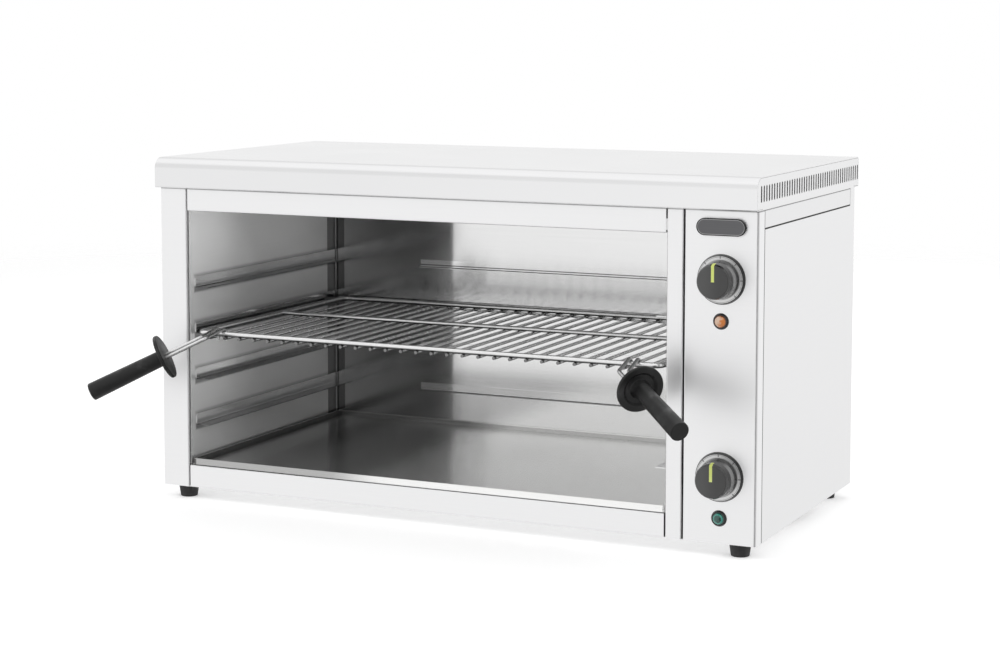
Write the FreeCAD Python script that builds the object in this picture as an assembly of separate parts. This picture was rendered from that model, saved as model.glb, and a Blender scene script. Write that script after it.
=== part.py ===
import FreeCAD, Part
import math
import os

# Salamander grill: an open-fronted stainless cabinet with elements under its roof and a lifting wire rack.
# Millimetres. While it is built, x runs right from the left side, y back from the front sheets,
# and z up from the underside of the casing. The last step moves it to its own origin.

Vec = FreeCAD.Vector

# Casing
body_width = 798.0
body_depth = 385.0
body_height = 384.0
sheet = 1.0
bend = 0.8
seam = 1.0
flange = 20.0
post_width = 38.2
post_gap = 1.8
upper_rail_height = 29.3
lower_rail_height = 28.5
mullion_width = 20.2
mullion_gap = 1.3
panel_gap = 1.5
panel_width = 88.5
panel_return = 12.0
panel_bend = 2.0
strip_height = 21.2
column_width = 20.0
rear_flange = 15.0
strip_flange = 13.0

# Cover
cover_height = 38.0
cover_sheet = 1.2
cover_proud = 1.0
cover_front = 11.0
cover_rear = 12.0
cover_nose = 14.0
cover_heel = 4.0
cover_lip = 9.0
end_sheet = 1.0
end_seam = 0.3
end_flange = 14.0
slot_pitch = 9.46
slot_width = 4.2
slot_height = 19.0
slot_first = 3.8
slot_margin = 4.0
slot_rise = 9.0

# Cavity
lining = 0.8
wall_setback = 4.0
left_wall_step = -0.2
right_wall_step = -1.3
runner_levels = 4
runner_first = 78.7
runner_pitch = 59.1
runner_rise = 13.5
runner_ledge = 18.7
runner_front = 16.0
back_ledge_first = 77.3
back_ledge_pitch = 57.9
back_ledge_rise = 10.0
back_ledge_depth = 6.0
back_ledge_length = 375.0
angle_sheet = 1.0

# Crumb tray
tray_left_gap = 4.5
tray_right_gap = 0.8
tray_front = 0.5
tray_rim = 7.9
tray_corner = 3.0

# Fits
rest_gap = 0.3
run_gap = 0.5
shaft_clearance = 0.05
hook_clearance = 0.05
hole_clearance = 0.3

# Rack
runner_count_below_rack = 2
rack_left_gap = 12.7
rack_right_gap = 3.1
rack_bar = 6.6
rack_corner = 10.0
rack_wire = 4.0
rack_wire_pitch = 20.82
rack_wire_margin = 12.0
rack_wire_shift = -2.2
rack_wire_nose = 0.8
rack_wire_tail = 1.0
rack_mid_setback = 205.0
weld_sink = 0.4

# Handles
bail_wire = 4.5
bail_spacing = 10.4
bail_shift = 0.4
bail_bend = 7.0
bail_embed = 40.0
hook_drop = 9.0
left_reach = 38.0
left_rise = -0.4
left_stem = 51.4
left_azimuth = -64.8
left_elevation = -26.0
right_reach = 31.0
right_rise = -3.9
right_stem = 41.7
right_azimuth = 48.1
right_elevation = -18.4
guard_diameter = 57.0
guard_thickness = 4.6
guard_band = 7.5
guard_groove = 3.0
grip_root = 20.0
grip_end = 22.6
grip_length = 104.7
grip_collar = 24.0
grip_edge_round = 1.0
grip_root_round = 2.0
grip_end_round = 1.5

# Heating elements
element_count = 3
element_diameter = 8.5
element_gap = 40.0
element_pitch = 110.0
element_first = 66.0
element_drop = 13.2
element_left_gap = 24.0
element_terminal = 18.0
element_pin = 4.0
gland_diameter = 15.0
gland_length = 7.0
bracket_count = 3
bracket_sheet = 1.5
bracket_inset = 90.0
bracket_below = 3.5

# Insulation and heat shield
wool_top = 8.0
wool_left = 25.0
wool_right = 15.0

# Controls
upper_control_drop = 79.5
lower_control_z = 77.3
dial_diameter = 58.0
dial_taper = 1.5
dial_thickness = 4.5
dial_face_rim = 0.6
dial_face_thickness = 0.5
knob_base = 45.5
knob_crown = 40.5
knob_face = 37.0
knob_height = 25.2
knob_chamfer = 3.6
knob_foot_gap = 0.4
knob_foot_round = 0.8
knob_shoulder_round = 1.2
knob_face_round = 1.0
pointer_width = 3.6
pointer_depth = 0.8
pointer_wrap = 8.0
shaft_diameter = 6.0
shaft_flat = 1.2
shaft_embed = 16.0
shaft_socket = 20.0
bush_diameter = 11.0
thermostat_width = 42.0
thermostat_height = 40.0
thermostat_depth = 30.0
timer_width = 50.0
timer_height = 48.0
timer_depth = 40.0
control_body_corner = 3.0
tab_width = 6.3
tab_length = 9.0
tab_sheet = 0.8
bulb_diameter = 6.0
bulb_length = 70.0
capillary_diameter = 2.0
capillary_setback = 250.0
capillary_drop = 26.0
capillary_bend = 12.0
capillary_lane = 22.0

# Lamps and badge
lamp_drop = 48.0
lamp_bezel = 19.0
lamp_bezel_height = 2.4
lamp_lens = 14.0
lamp_dome = 3.4
lamp_barrel = 12.4
lamp_length = 26.0
lamp_nut = 17.0
lamp_nut_height = 4.0
lamp_tip_round = 1.0
lamp_bezel_round = 0.6
badge_width = 58.6
badge_height = 19.6
badge_thickness = 4.0
badge_rim = 1.2
badge_recess = 0.6
badge_drop = 19.8
badge_end_flat = 0.02

# Supply
block_width = 58.0
block_depth = 24.0
block_height = 18.0
block_setback = 70.0
block_poles = 5
block_screw = 6.0
block_wire_hole = 4.0
inlet_z = 55.0
inlet_thread = 20.0
inlet_head = 27.0
inlet_length = 10.0
inlet_nut = 5.0
inlet_nut_width = 25.0
inlet_tip_round = 2.0
inlet_mouth_round = 0.5
inlet_bore = 11.0
earth_offset = 28.0
earth_diameter = 6.0
earth_length = 10.0
earth_nut = 10.0
earth_nut_height = 4.5

# Ventilation of the control space
vent_count = 7
vent_pitch = 9.0
vent_width = 4.0
vent_height = 60.0
vent_drop = 154.0
floor_vent_length = 90.0
floor_vent_setback = 190.0

# Feet and fasteners
foot_height = 16.3
foot_top = 26.4
foot_bottom = 21.6
foot_recess = 12.5
foot_recess_depth = 11.0
foot_top_round = 0.8
foot_tread_round = 1.2
foot_recess_round = 0.6
foot_side_inset = 25.0
foot_front_inset = 20.0
foot_rear_inset = 25.2
foot_screw = 5.0
foot_screw_head = 9.5
foot_screw_head_height = 3.2
foot_nut = 10.0
foot_nut_height = 4.0
casing_screw = 4.0
casing_screw_head = 7.4
casing_screw_head_height = 2.4
casing_screw_grip = 4.0
casing_screw_crown = 1.44
casing_screw_rows = 3
casing_screw_margin = 36.0

# Places that follow from the sizes above
rail_left = post_width + post_gap
panel_left = body_width - panel_width
mullion_right = panel_left - panel_gap
mullion_left = mullion_right - mullion_width
rail_right = mullion_left - mullion_gap
cavity_left = rail_left + left_wall_step
cavity_right = rail_right - right_wall_step
cavity_middle = (cavity_left + cavity_right) / 2
cavity_back = body_depth - 2 * sheet
floor_top = lower_rail_height + lining
roof_under = body_height - sheet - lining
control_x = panel_left + panel_width / 2
upper_control_z = body_height - upper_control_drop
badge_z = body_height - badge_drop
vent_z = body_height - vent_drop
shield_left = cavity_right + lining + wool_right
cover_top = body_height + cover_height
slot_count = 1 + int((body_depth + cover_rear - slot_margin - slot_first) / slot_pitch)
element_z = roof_under - element_drop
capillary_z = body_height - capillary_drop
runner_heights = [runner_first + runner_pitch * level for level in range(runner_levels)]
rack_left = cavity_left + rack_left_gap + rack_bar / 2
rack_right = cavity_right - rack_right_gap - rack_bar / 2
rack_middle = (rack_left + rack_right) / 2
rack_z = runner_heights[runner_count_below_rack] + rest_gap + rack_bar / 2
rack_wire_count = 1 + int((rack_right - rack_left - 2 * rack_wire_margin) / rack_wire_pitch)
rack_wire_z = rack_z - rack_bar / 2 - rack_wire / 2 + weld_sink
rack_rear = cavity_back - angle_sheet - run_gap - rack_wire_tail - rack_bar / 2
tray_bottom = floor_top + rest_gap
base_space = Part.makeBox(
    body_width - 2 * sheet, body_depth - 3 * sheet, sheet, Vec(sheet, sheet, 0)
)


def box(x0, x1, y0, y1, z0, z1):
    return Part.makeBox(x1 - x0, y1 - y0, z1 - z0, Vec(x0, y0, z0))


def rod(start, end, radius):
    return Part.makeCylinder(radius, (end - start).Length, start, end - start)


def on_plane(plane, a, b, c):
    if plane == "XY":
        return Vec(a, b, c)
    if plane == "XZ":
        return Vec(a, c, b)
    return Vec(c, a, b)


# Edges along a row of points, with an arc of the given radius at each corner
def path_edges(points, radii, closed=False):
    count = len(points)
    corners = []
    for i, point in enumerate(points):
        if radii[i] <= 0 or not (closed or 0 < i < count - 1):
            corners.append((point, None, point))
            continue
        before = (points[i - 1] - point).normalize()
        after = (points[(i + 1) % count] - point).normalize()
        half = before.getAngle(after) / 2
        reach = radii[i] / math.tan(half)
        inset = (before + after).normalize() * (radii[i] / math.sin(half) - radii[i])
        corners.append((point + before * reach, point + inset, point + after * reach))
    edges = []
    for i, (start, middle, end) in enumerate(corners):
        if middle is not None:
            edges.append(Part.Arc(start, middle, end).toShape())
        following = corners[(i + 1) % count][0]
        if (closed or i < count - 1) and (following - end).Length > 1e-6:
            edges.append(Part.LineSegment(end, following).toShape())
    return edges


def flat_face(outline, radii, plane, level, holes=()):
    outer = path_edges([on_plane(plane, a, b, level) for a, b in outline], radii, closed=True)
    wires = [Part.Wire(outer)]
    wires += [Part.Wire(hole) for hole in holes]
    return Part.makeFace(wires, "Part::FaceMakerBullseye")


def prism(outline, radii, plane, low, high, holes=()):
    return flat_face(outline, radii, plane, low, holes).extrude(on_plane(plane, 0, 0, high - low))


def rectangle(a0, a1, b0, b1):
    return [(a0, b0), (a1, b0), (a1, b1), (a0, b1)]


def rounded_block(a0, a1, b0, b1, radius, plane, low, high):
    return prism(rectangle(a0, a1, b0, b1), [radius] * 4, plane, low, high)


# The left-hand unit normal of a step from one point to the next
def left_normal(start, end):
    length = math.hypot(end[0] - start[0], end[1] - start[1])
    return ((start[1] - end[1]) / length, (end[0] - start[0]) / length)


# A folded sheet: its visible line, its thickness to the left (or right, if negative), and its bend radii
def folded(points, thickness, bends, plane, low, high):
    wall = abs(thickness)
    moved = []
    outer_radii = []
    inner_radii = []
    for i, point in enumerate(points):
        normals = []
        if i > 0:
            normals.append(left_normal(points[i - 1], point))
        if i < len(points) - 1:
            normals.append(left_normal(point, points[i + 1]))
        first, last = normals[0], normals[-1]
        share = thickness / (1 + first[0] * last[0] + first[1] * last[1])
        if len(normals) == 1:
            share = thickness / 2
        moved.append((point[0] + (first[0] + last[0]) * share, point[1] + (first[1] + last[1]) * share))
        if len(normals) == 1:
            outer_radii.append(0)
            inner_radii.append(0)
            continue
        turn = first[0] * last[1] - first[1] * last[0]
        sheet_inside = turn * thickness > 0
        outer_radii.append(bends[i - 1] + wall if sheet_inside else bends[i - 1])
        inner_radii.append(bends[i - 1] if sheet_inside else bends[i - 1] + wall)
    outline = points + moved[::-1]
    return prism(outline, outer_radii + inner_radii[::-1], plane, low, high)


# A turned solid: its half outline as distances along and out from the axis
def turned(outline, radii, origin, axis):
    along = Vec(axis).normalize()
    side = Vec(0, 0, 1) if abs(along.z) < 0.9 else Vec(1, 0, 0)
    out = along.cross(side).cross(along).normalize()
    points = [origin + along * a + out * r for a, r in outline]
    face = Part.Face(Part.Wire(path_edges(points, radii, closed=True)))
    return face.revolve(origin, along, 360)


def tube(edges, radius):
    path = Part.Wire(edges)
    first = path.OrderedEdges[0]
    start = first.valueAt(first.FirstParameter)
    heading = first.tangentAt(first.FirstParameter)
    if first.Orientation == "Reversed":
        start = first.valueAt(first.LastParameter)
        heading = first.tangentAt(first.LastParameter) * -1
    ring = Part.Wire(Part.makeCircle(radius, start, heading))
    return path.makePipeShell([ring], True, False)


def joined(shapes):
    whole = shapes[0].multiFuse(shapes[1:])
    return whole.removeSplitter()


def mirrored(shape, middle):
    return shape.mirror(Vec(middle, 0, 0), Vec(1, 0, 0))


# Casing sheets

def upright_channel(left, right, left_depth, right_depth, right_bend):
    line = [(left, left_depth), (left, 0), (right, 0), (right, right_depth)]
    return folded(line, sheet, [bend, right_bend], "XY", 0, body_height).cut(base_space)


def make_base_plate():
    plate = box(sheet, body_width - sheet, sheet, cavity_back, 0, sheet)
    slots = []
    for i in range(vent_count):
        middle = control_x + (i - (vent_count - 1) / 2) * vent_pitch
        slots.append(rounded_block(
            middle - vent_width / 2, middle + vent_width / 2,
            floor_vent_setback, floor_vent_setback + floor_vent_length,
            vent_width / 2, "XY", 0, sheet))
    holes = [rod(spot, spot + Vec(0, 0, sheet), foot_screw / 2 + hole_clearance) for spot in foot_spots()]
    return plate.cut(slots + holes)


def make_upper_front_rail():
    low = body_height - upper_rail_height
    line = [(flange, low), (0, low), (0, body_height), (flange, body_height)]
    return folded(line, -sheet, [bend, bend], "YZ", rail_left, rail_right)


def make_lower_front_rail():
    line = [(flange, 0), (0, 0), (0, lower_rail_height), (flange, lower_rail_height)]
    return folded(line, -sheet, [bend, bend], "YZ", rail_left, rail_right).cut(base_space)


def control_hole(radius, z):
    return rod(Vec(control_x, 0, z), Vec(control_x, sheet, z), radius)


def make_control_panel():
    panel = upright_channel(panel_left, body_width, panel_return, flange, panel_bend)
    cuts = []
    for z in (upper_control_z, lower_control_z):
        cuts.append(control_hole(bush_diameter / 2 + hole_clearance, z))
        cuts.append(control_hole(lamp_barrel / 2 + hole_clearance, z - lamp_drop))
    return panel.cut(cuts)


def casing_screw_spots():
    spots = []
    step = (body_height - 2 * casing_screw_margin) / (casing_screw_rows - 1)
    for x in (rear_flange / 2, body_width - rear_flange / 2):
        for row in range(casing_screw_rows):
            spots.append(Vec(x, body_depth, casing_screw_margin + row * step))
    return spots


def casing_screw_holes():
    back = Vec(0, 2 * sheet, 0)
    return [rod(spot - back, spot, casing_screw / 2 + hole_clearance) for spot in casing_screw_spots()]


def make_right_side_panel():
    line = [(body_width, flange + seam), (body_width, body_depth), (body_width - rear_flange, body_depth)]
    panel = folded(line, sheet, [bend], "XY", 0, body_height)
    window = box(body_width - sheet, body_width, flange + seam, body_depth - column_width,
                 body_height - strip_height - seam, body_height)
    return panel.cut([window, base_space] + casing_screw_holes())


def make_right_side_strip():
    low = body_height - strip_height
    line = [(body_width, low), (body_width, body_height), (body_width - strip_flange, body_height)]
    return folded(line, sheet, [bend], "XZ", flange + seam, body_depth - column_width - seam)


def make_back_panel():
    edge = sheet + bend
    panel = box(edge, body_width - edge, cavity_back, cavity_back + sheet, 0, body_height)
    cuts = casing_screw_holes()
    for i in range(vent_count):
        middle = control_x + (i - (vent_count - 1) / 2) * vent_pitch
        cuts.append(rounded_block(
            middle - vent_width / 2, middle + vent_width / 2, vent_z, vent_z + vent_height,
            vent_width / 2, "XZ", cavity_back, cavity_back + sheet))
    inlet = Vec(control_x, cavity_back, inlet_z)
    cuts.append(rod(inlet, inlet + Vec(0, sheet, 0), inlet_thread / 2 + hole_clearance))
    earth = Vec(control_x - earth_offset, cavity_back, inlet_z)
    cuts.append(rod(earth, earth + Vec(0, sheet, 0), earth_diameter / 2 + hole_clearance))
    return panel.cut(cuts)


# Cover

def make_top_cover():
    front = -cover_front
    rear = body_depth + cover_rear
    line = [(cover_lip, body_height), (front, body_height), (front, cover_top), (rear, cover_top),
            (rear, body_height), (body_depth - cover_lip, body_height)]
    bends = [bend, cover_nose - cover_sheet, cover_heel - cover_sheet, bend]
    return folded(line, -cover_sheet, bends, "YZ", -cover_proud, body_width + cover_proud)


def make_left_cover_end():
    inset = cover_sheet + end_seam
    front = -cover_front + inset
    rear = body_depth + cover_rear - inset
    top = cover_top - inset
    low = body_height + inset
    slot_low = body_height + slot_rise
    slots = []
    for i in range(slot_count):
        middle = slot_first + i * slot_pitch
        front_edge = middle - slot_width / 2
        corners = rectangle(front_edge, front_edge + slot_width, slot_low, slot_low + slot_height)
        points = [on_plane("YZ", a, b, -cover_proud) for a, b in corners]
        slots.append(path_edges(points, [slot_width / 2] * 4, closed=True))
    lip_end = cover_lip + end_seam
    outline = [(front, low), (lip_end, low), (lip_end, body_height), (body_depth - lip_end, body_height),
               (body_depth - lip_end, low), (rear, low), (rear, top), (front, top)]
    radii = [0, 0, 0, 0, 0, 0, cover_heel - inset, cover_nose - inset]
    plate = prism(outline, radii, "YZ", -cover_proud, end_sheet - cover_proud, slots)
    shelf = box(end_sheet - cover_proud, end_flange - cover_proud, lip_end, body_depth - lip_end,
                body_height, body_height + end_sheet)
    return plate.fuse(shelf).removeSplitter()


# Cavity lining

def element_legs():
    places = []
    for i in range(element_count):
        front = element_first + i * element_pitch
        places.append((front, front + element_gap))
    return places


def element_passages(low, high):
    radius = element_diameter / 2 + hole_clearance
    cuts = []
    for leg in [y for pair in element_legs() for y in pair]:
        cuts.append(rod(Vec(low, leg, element_z), Vec(high, leg, element_z), radius))
    start = Vec(low, capillary_setback, capillary_z)
    cuts.append(rod(start, Vec(high, capillary_setback, capillary_z), bulb_diameter / 2 + hole_clearance))
    return cuts


def make_left_cavity_wall():
    return box(cavity_left - lining, cavity_left, wall_setback, cavity_back, floor_top, roof_under)


# It starts behind the mullion's flange, level with it
def make_right_cavity_wall():
    wall = box(cavity_right, cavity_right + lining, flange + rest_gap, cavity_back, floor_top, roof_under)
    return wall.cut(element_passages(cavity_right, cavity_right + lining))


def make_cavity_floor():
    left = cavity_left - lining
    right = cavity_right + lining
    line = [(left, sheet), (left, floor_top), (right, floor_top), (right, sheet)]
    floor = folded(line, -lining, [bend, bend], "XZ", flange + rest_gap, cavity_back)
    tongue = box(left, mullion_left - rest_gap, wall_setback * 2, flange + rest_gap,
                 lower_rail_height, floor_top)
    return floor.fuse(tongue).removeSplitter()


def make_reflector():
    return box(cavity_left - lining, mullion_left - rest_gap, wall_setback + lining, cavity_back,
               roof_under, body_height - sheet)


def make_left_runners():
    runners = []
    for height in runner_heights:
        under = height - angle_sheet
        top = height + runner_rise
        line = [(cavity_left + runner_ledge, under), (cavity_left, under), (cavity_left, top)]
        runners.append(folded(line, -angle_sheet, [bend], "XZ", runner_front, cavity_back - rest_gap))
    return Part.makeCompound(runners)


def make_back_ledges():
    ledges = []
    left = cavity_middle - back_ledge_length / 2
    for level in range(runner_levels):
        height = back_ledge_first + back_ledge_pitch * level
        under = height - angle_sheet
        top = height + back_ledge_rise
        line = [(cavity_back - back_ledge_depth, under), (cavity_back, under), (cavity_back, top)]
        ledges.append(folded(line, angle_sheet, [bend], "YZ", left, left + back_ledge_length))
    return Part.makeCompound(ledges)


def make_crumb_tray():
    left = cavity_left + tray_left_gap
    right = cavity_right - tray_right_gap
    back = cavity_back - run_gap
    top = tray_bottom + tray_rim
    outer = rounded_block(left, right, tray_front, back, tray_corner, "XY", tray_bottom, top)
    inner = rounded_block(left + lining, right - lining, tray_front + lining, back - lining,
                          tray_corner - lining, "XY", tray_bottom + lining, top)
    return outer.cut(inner)


# Rack and its handles

def make_rack_frame():
    halves = []
    for end in (rack_left, rack_right):
        points = [Vec(rack_middle, 0, rack_z), Vec(end, 0, rack_z),
                  Vec(end, rack_rear, rack_z), Vec(rack_middle, rack_rear, rack_z)]
        halves.append(tube(path_edges(points, [0, rack_corner, rack_corner, 0]), rack_bar / 2))
    middle_bar = rod(Vec(rack_left, rack_mid_setback, rack_z), Vec(rack_right, rack_mid_setback, rack_z),
                     rack_bar / 2 - weld_sink)
    return joined(halves + [middle_bar])


def rack_wire_x(step):
    return rack_middle + rack_wire_shift + step * rack_wire_pitch


def make_rack_wires(frame):
    front = -rack_bar / 2 - rack_wire_nose
    rear = rack_rear + rack_bar / 2 + rack_wire_tail
    wires = []
    for i in range(rack_wire_count):
        x = rack_wire_x(i - (rack_wire_count - 1) / 2)
        wire = rod(Vec(x, front, rack_wire_z), Vec(x, rear, rack_wire_z), rack_wire / 2)
        wires.append(wire.cut(frame))
    return Part.makeCompound(wires)


def handle_x(side):
    return rack_wire_x(side * (rack_wire_count / 2 - 1)) + bail_shift


def heading(azimuth, elevation):
    flat = math.cos(math.radians(elevation))
    turn = math.radians(azimuth)
    return Vec(math.sin(turn) * flat, -math.cos(turn) * flat, math.sin(math.radians(elevation)))


# One bent wire: a hook over the front bar, a leg forward, a stem to the grip, and back the same way
def make_bail(bend_point, stem, direction):
    radius = rack_bar / 2 + hook_clearance + bail_wire / 2
    skew = -bail_spacing * direction.x / (1 - direction.y)
    legs = []
    tips = []
    for side in (-1, 1):
        place = bend_point.x + side * bail_spacing / 2
        corner = Vec(place, bend_point.y - side * skew / 2, bend_point.z)
        rise = corner.z - rack_z
        leave = math.pi + math.atan2(-rise, -corner.y) - math.acos(radius / math.hypot(rise, corner.y))

        def on_hook(angle):
            return Vec(place, math.cos(angle) * radius, rack_z + math.sin(angle) * radius)

        lowest = on_hook(0) - Vec(0, 0, hook_drop)
        tip = corner + direction * (stem + bail_embed - (corner - bend_point).dot(direction))
        hook = [Part.LineSegment(lowest, on_hook(0)).toShape(),
                Part.Arc(on_hook(0), on_hook(leave / 2), on_hook(leave)).toShape()]
        arm = path_edges([on_hook(leave), corner, tip], [0, bail_bend, 0])
        legs.append(tube(hook + arm, bail_wire / 2))
        tips.append(tip)
    return joined(legs + [rod(tips[0], tips[1], bail_wire / 2)])


def make_grip(foot, direction, bail):
    guard = guard_diameter / 2
    groove = guard_thickness - guard_groove
    outline = [(0, 0), (0, guard), (guard_thickness, guard), (guard_thickness, guard - guard_band),
               (groove, guard - guard_band - guard_groove), (groove, grip_collar / 2),
               (guard_thickness + guard_groove, grip_root / 2), (grip_length, grip_end / 2), (grip_length, 0)]
    radii = [0, guard_thickness / 3, guard_thickness / 4, grip_edge_round, grip_edge_round, grip_edge_round,
             grip_root_round, grip_end_round, 0]
    return turned(outline, radii, foot, direction).cut(bail)


# Heating

def make_heating_element(front, rear):
    left = cavity_left + element_left_gap
    right = shield_left + lining + run_gap
    middle = (front + rear) / 2
    radius = (rear - front) / 2
    front_bend = Vec(left + radius, front, element_z)
    rear_bend = Vec(left + radius, rear, element_z)
    edges = [Part.LineSegment(Vec(right, front, element_z), front_bend).toShape(),
             Part.Arc(front_bend, Vec(left, middle, element_z), rear_bend).toShape(),
             Part.LineSegment(rear_bend, Vec(right, rear, element_z)).toShape()]
    pieces = [tube(edges, element_diameter / 2)]
    for y in (front, rear):
        inner = Vec(cavity_right - gland_length, y, element_z)
        pieces.append(rod(inner, Vec(cavity_right, y, element_z), gland_diameter / 2))
        end = Vec(right, y, element_z)
        pieces.append(rod(end, end + Vec(element_terminal, 0, 0), element_pin / 2))
    return joined(pieces)


def make_element_brackets():
    low = element_z - element_diameter / 2 - bracket_below
    legs = element_legs()
    margin = element_diameter * 2
    span = cavity_right - cavity_left - 2 * bracket_inset
    plates = []
    for i in range(bracket_count):
        x = cavity_left + bracket_inset + span * i / (bracket_count - 1)
        plate = box(x, x + bracket_sheet, legs[0][0] - margin, legs[-1][1] + margin, low, roof_under)
        radius = element_diameter / 2 + hole_clearance
        holes = [rod(Vec(x, y, element_z), Vec(x + bracket_sheet, y, element_z), radius)
                 for pair in legs for y in pair]
        plates.append(plate.cut(holes))
    return Part.makeCompound(plates)


def make_top_insulation():
    return box(cavity_left, cavity_right, flange + run_gap, body_depth - cover_lip - run_gap,
               body_height - sheet, body_height - sheet + wool_top)


def make_left_insulation():
    right = cavity_left - lining
    wool = box(right - wool_left, right, flange + run_gap, cavity_back, sheet, roof_under)
    lift = Vec(0, 0, sheet + foot_nut_height + 2 * sheet)
    pocket = foot_nut / math.sqrt(3) + hole_clearance
    return wool.cut([rod(spot, spot + lift, pocket) for spot in foot_spots()])


def make_right_insulation():
    left = cavity_right + lining
    wool = box(left, left + wool_right, flange + run_gap, cavity_back, sheet, roof_under)
    return wool.cut(element_passages(left, left + wool_right))


def make_heat_shield():
    shield = box(shield_left, shield_left + lining, flange + run_gap, cavity_back, sheet, body_height - sheet)
    return shield.cut(element_passages(shield_left, shield_left + lining))


# Controls: each is built behind and before the panel on its own axis

def knob_outline(inset):
    face = dial_thickness + knob_foot_gap + knob_height
    foot = dial_thickness + knob_foot_gap
    return [(foot, 0), (foot, knob_base / 2 - inset), (face - knob_chamfer, knob_crown / 2 - inset),
            (face - inset, knob_face / 2 - inset), (face - inset, 0)]


def knob_blank(z, inset):
    radii = [0, knob_foot_round, knob_shoulder_round, knob_face_round, 0]
    return turned(knob_outline(inset), radii, Vec(control_x, 0, z), Vec(0, -1, 0))


def make_pointer(z):
    face = dial_thickness + knob_foot_gap + knob_height
    strip = box(control_x - pointer_width / 2, control_x + pointer_width / 2,
                -face, -face + pointer_wrap, z, z + knob_base / 2)
    return knob_blank(z, 0).common(strip).cut(knob_blank(z, pointer_depth))


def make_shaft(z, depth):
    rear = sheet + depth
    front = -(dial_thickness + knob_foot_gap + shaft_embed)
    shaft = rod(Vec(control_x, front, z), Vec(control_x, rear, z), shaft_diameter / 2)
    flat = box(control_x - shaft_diameter, control_x + shaft_diameter,
               front, -dial_thickness - knob_foot_gap,
               z + shaft_diameter / 2 - shaft_flat, z + shaft_diameter)
    return shaft.cut(flat)


def make_dial(z):
    radius = dial_diameter / 2
    outline = [(0, bush_diameter / 2 + hole_clearance), (0, radius), (dial_thickness, radius - dial_taper),
               (dial_thickness, radius - dial_taper - dial_face_rim),
               (dial_thickness - dial_face_thickness, radius - dial_taper - dial_face_rim),
               (dial_thickness - dial_face_thickness, bush_diameter / 2 + hole_clearance)]
    return turned(outline, [0] * 6, Vec(control_x, 0, z), Vec(0, -1, 0))


def make_dial_face(z):
    radius = dial_diameter / 2 - dial_taper - dial_face_rim
    hole = bush_diameter / 2 + hole_clearance
    back = dial_thickness - dial_face_thickness
    outline = [(back, hole), (back, radius), (dial_thickness, radius), (dial_thickness, hole)]
    return turned(outline, [0] * 4, Vec(control_x, 0, z), Vec(0, -1, 0))


def make_control_body(z, width, height, depth):
    body = rounded_block(control_x - width / 2, control_x + width / 2, z - height / 2, z + height / 2,
                         control_body_corner, "XZ", sheet, sheet + depth)
    bush_front = Vec(control_x, dial_face_thickness - dial_thickness, z)
    bush = rod(bush_front, Vec(control_x, sheet, z), bush_diameter / 2)
    tabs = []
    for side in (-1, 1):
        for row in (-1, 1):
            middle = control_x + side * width / 4
            low = z + row * height / 4
            tabs.append(box(middle - tab_width / 2, middle + tab_width / 2, sheet + depth,
                            sheet + depth + tab_length, low, low + tab_sheet))
    bore = rod(Vec(control_x, -dial_thickness, z), Vec(control_x, sheet + shaft_socket + rest_gap, z),
               shaft_diameter / 2 + shaft_clearance)
    return joined([body, bush] + tabs).cut(bore)


def make_thermostat_bulb():
    start = Vec(cavity_right - gland_length - bulb_length, capillary_setback, capillary_z)
    end = Vec(cavity_right - gland_length, capillary_setback, capillary_z)
    bulb = rod(start, end, bulb_diameter / 2)
    plug = rod(end, Vec(cavity_right, capillary_setback, capillary_z), bulb_diameter)
    lane = shield_left + lining + capillary_lane
    rear = sheet + thermostat_depth
    top = upper_control_z + thermostat_height / 2
    points = [Vec(cavity_right - gland_length, capillary_setback, capillary_z),
              Vec(lane, capillary_setback, capillary_z), Vec(lane, rear * 2, capillary_z),
              Vec(control_x, rear / 2, capillary_z), Vec(control_x, rear / 2, top)]
    edges = path_edges(points, [0, capillary_bend, capillary_bend, capillary_bend, 0])
    return joined([bulb, plug, tube(edges, capillary_diameter / 2)])


# Lamps, badge and supply

def make_lamp_bezel(z):
    lens = lamp_lens / 2
    outline = [(-lamp_length, 0), (-lamp_length, lamp_barrel / 2), (0, lamp_barrel / 2), (0, lamp_bezel / 2),
               (lamp_bezel_height, lamp_bezel / 2 - lamp_bezel_height / 2), (lamp_bezel_height, lens),
               (lamp_bezel_height / 3, lens), (lamp_bezel_height / 3, 0)]
    radii = [0, lamp_tip_round, 0, 0, lamp_bezel_round, 0, 0, 0]
    body = turned(outline, radii, Vec(control_x, 0, z), Vec(0, -1, 0))
    nut = rod(Vec(control_x, sheet, z), Vec(control_x, sheet + lamp_nut_height, z), lamp_nut / 2)
    return joined([body, nut])


def make_lamp_lens(z):
    lens = lamp_lens / 2
    base = lamp_bezel_height / 3
    shoulder = lamp_bezel_height
    ball = (lens ** 2 + lamp_dome ** 2) / (2 * lamp_dome)
    centre = Vec(control_x, ball - shoulder - lamp_dome, z)
    dome = Part.makeSphere(ball, centre)
    barrel = rod(Vec(control_x, -base, z), Vec(control_x, -shoulder - lamp_dome, z), lens)
    return barrel.common(dome)


def badge_block(inset, low, high):
    half = badge_height / 2 - inset
    return rounded_block(control_x - badge_width / 2 + inset, control_x + badge_width / 2 - inset,
                         badge_z - half, badge_z + half, half - badge_end_flat / 2, "XZ", low, high)


def make_badge_plate():
    plate = badge_block(0, -badge_thickness, 0)
    return plate.cut(badge_block(badge_rim, -badge_thickness, -badge_thickness + badge_recess))


def make_terminal_block():
    back = cavity_back - block_setback
    block = box(control_x - block_width / 2, control_x + block_width / 2,
                back - block_depth, back, sheet, sheet + block_height)
    cuts = []
    for i in range(block_poles):
        x = control_x + (i - (block_poles - 1) / 2) * block_width / block_poles
        middle = back - block_depth / 2
        spot = Vec(x, middle, sheet + block_height)
        cuts.append(rod(spot - Vec(0, 0, block_height / 3), spot, block_screw / 2))
        mouth = Vec(x, back, sheet + block_height / 2)
        cuts.append(rod(mouth - Vec(0, block_depth / 3, 0), mouth, block_wire_hole / 2))
    return block.cut(cuts)


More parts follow.
